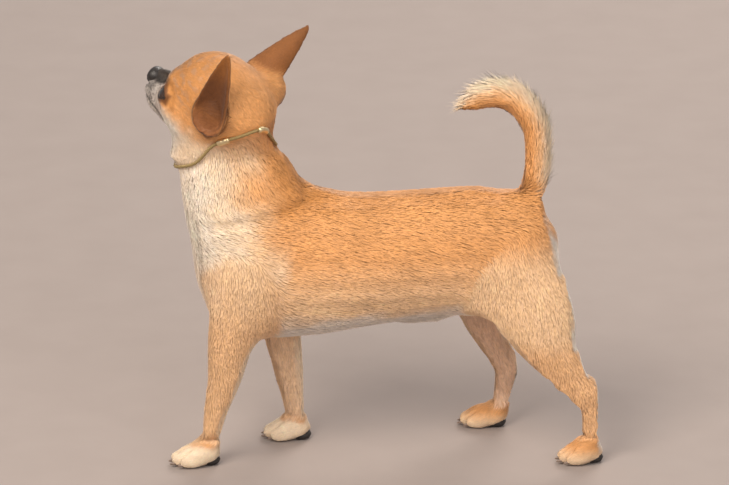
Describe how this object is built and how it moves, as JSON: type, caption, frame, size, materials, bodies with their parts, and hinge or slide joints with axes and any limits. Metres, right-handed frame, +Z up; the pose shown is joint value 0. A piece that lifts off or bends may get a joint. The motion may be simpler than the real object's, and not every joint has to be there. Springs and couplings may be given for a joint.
{
  "type": "chihuahua",
  "caption": "Standing smooth-coat chihuahua with its head raised and turned aside, ears apart, tail curled over its back, and a thin cord collar.",
  "frame": {"origin": "the middle of the floor rectangle that the whole dog covers", "axes": "+Z up; the dog faces -X and its left side is toward -Y"},
  "size_m": [0.3346, 0.1024, 0.324],
  "materials": {
    "coat": "short golden fawn fur, cream on throat, chest, belly and toes",
    "eye": "wet dark brown",
    "nose": "moist black pebbled skin",
    "pad": "dull black rough skin",
    "claw": "brown horn, slightly glossy",
    "collar": "thin olive gold round cord",
    "collar_metal": "pale gold, polished"
  },
  "bodies": {
    "root": {"foreleg_left": "coat", "foreleg_right": "coat", "hindleg_left": "coat", "hindleg_right": "coat", "trunk": "coat", "neck": "coat", "tail_root": "coat", "tail_middle": "coat", "tail_tip": "coat", "forepaw_left": "coat", "forepaw_left_pad": "pad", "forepaw_left_claw_1": "claw", "forepaw_left_claw_2": "claw", "forepaw_left_claw_3": "claw", "forepaw_left_claw_4": "claw", "forepaw_right": "coat", "forepaw_right_pad": "pad", "forepaw_right_claw_1": "claw", "forepaw_right_claw_2": "claw", "forepaw_right_claw_3": "claw", "forepaw_right_claw_4": "claw", "hindpaw_left": "coat", "hindpaw_left_pad": "pad", "hindpaw_left_claw_1": "claw", "hindpaw_left_claw_2": "claw", "hindpaw_left_claw_3": "claw", "hindpaw_left_claw_4": "claw", "hindpaw_right": "coat", "hindpaw_right_pad": "pad", "hindpaw_right_claw_1": "claw", "hindpaw_right_claw_2": "claw", "hindpaw_right_claw_3": "claw", "hindpaw_right_claw_4": "claw", "eye_left": "eye", "eye_right": "eye", "nose": "nose", "head": "coat", "ear_left": "coat", "ear_right": "coat", "collar_cord": "collar", "collar_slide": "collar_metal", "collar_crimp": "collar_metal"}
  },
  "joints": []
}
